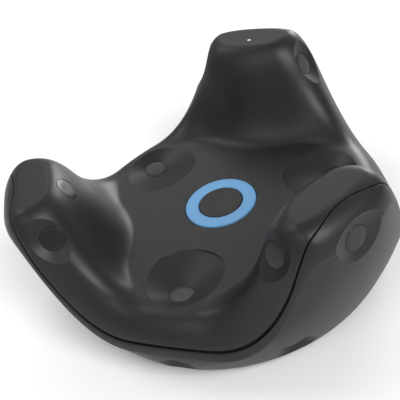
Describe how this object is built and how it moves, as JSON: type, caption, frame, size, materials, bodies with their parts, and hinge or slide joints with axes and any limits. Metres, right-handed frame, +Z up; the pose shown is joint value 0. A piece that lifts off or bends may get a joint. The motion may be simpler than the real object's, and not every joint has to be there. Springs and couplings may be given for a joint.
{
  "type": "vr motion controller",
  "caption": "Round tracking puck with blunt horns, dimpled infrared windows, a push button and a camera thread in its base.",
  "frame": {"origin": "mouth of the camera thread, in the middle of the base, level with the surface it rests on", "axes": "+Z up, out of the button; +Y towards the horn with the status light and the charging socket; +X to its right"},
  "size_m": [0.094, 0.0908, 0.0423],
  "materials": {
    "casing": "satin, fine grain",
    "seal": "matt",
    "pad": "matt",
    "plate": "satin",
    "bush": "turned",
    "block": "matt",
    "gold": "plated",
    "socket": "drawn",
    "screw": "zinc plated",
    "ring": "satin, pale blue",
    "cap": "satin",
    "dome": "polished",
    "frame": "matt",
    "foam": "matt foam",
    "cell": "pouch foil",
    "lead": "insulation",
    "board": "solder mask",
    "chip": "moulded",
    "shield": "tinned",
    "ceramic": "glazed",
    "pipe": "clear",
    "led": "moulded",
    "flex": "polyimide film",
    "window": "infrared-passing, smooth"
  },
  "bodies": {
    "casing": {"top_shell": "casing", "bottom_shell": "casing", "seam_gasket": "seal", "base_pad": "pad", "mount_plate": "plate", "tripod_bush": "bush", "pogo_block": "block", "pogo_pads": "gold", "usb_shell": "socket", "usb_tongue": "block", "case_screws": "screw", "switch_dome": "dome", "switch_body": "block", "inner_frame": "frame", "battery_pad": "foam", "battery_cell": "cell", "battery_lead": "lead", "main_board": "board", "board_screws": "screw", "processor": "chip", "rf_shield": "shield", "antenna": "ceramic", "light_pipe": "pipe", "status_led": "led", "sensor_flex_1": "flex", "sensor_flex_2": "flex", "sensor_flex_3": "flex", "sensor_window_1": "window", "sensor_window_2": "window", "sensor_window_3": "window", "sensor_window_4": "window", "sensor_window_5": "window", "sensor_window_6": "window", "sensor_window_7": "window", "sensor_window_8": "window", "sensor_window_9": "window", "sensor_window_10": "window", "sensor_window_11": "window", "sensor_window_12": "window", "sensor_window_13": "window", "sensor_window_14": "window", "sensor_window_15": "window", "sensor_window_16": "window", "sensor_window_17": "window", "sensor_window_18": "window", "sensor_window_19": "window", "sensor_window_20": "window", "sensor_window_21": "window", "sensor_window_22": "window"},
    "button": {"button_ring": "ring", "button_cap": "cap", "button_stem": "plate", "switch_plunger": "block"}
  },
  "joints": [
    {"name": "power_button", "type": "slide", "parent": "casing", "child": "button", "axis": [0, 0, -1], "range_m": [0, 0.0004], "stiffness_N_per_m": 1500, "deforming": ["switch_dome"]}
  ]
}
